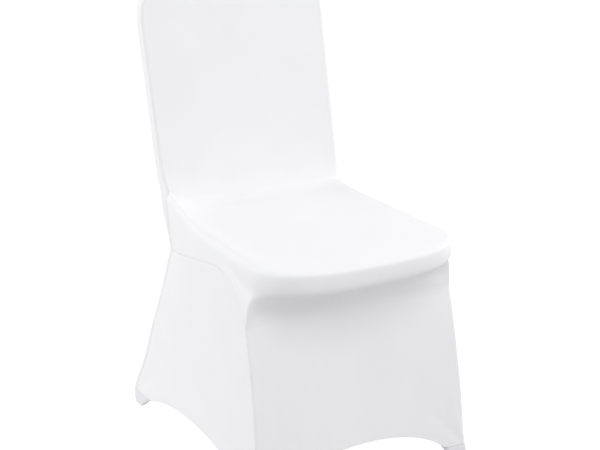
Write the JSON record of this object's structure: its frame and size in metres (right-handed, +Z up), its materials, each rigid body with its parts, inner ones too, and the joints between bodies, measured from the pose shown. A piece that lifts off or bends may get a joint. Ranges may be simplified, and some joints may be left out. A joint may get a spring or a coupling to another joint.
{
  "type": "spandex folding chair cover",
  "caption": "Fitted white stretch cloth cover in the shape it takes over a folding chair: tall flat back, lipped seat and a skirt with arched hems that tapers to a small pocket at each foot.",
  "frame": {"origin": "centre of the bounding box at the floor", "axes": "+Z up, -Y towards the front of the seat, +X to the left of someone who sits on the seat"},
  "size_m": [0.4594, 0.6003, 0.905],
  "materials": {
    "stretch_cloth": "matt smooth knit",
    "doubled_cloth": "matt knit, two layers"
  },
  "bodies": {
    "root": {"front_panel": "stretch_cloth", "back_panel": "stretch_cloth", "side_panel_left": "stretch_cloth", "side_panel_right": "stretch_cloth", "foot_pocket_front_left": "doubled_cloth", "foot_pocket_front_right": "doubled_cloth", "foot_pocket_rear_left": "doubled_cloth", "foot_pocket_rear_right": "doubled_cloth"}
  },
  "joints": []
}
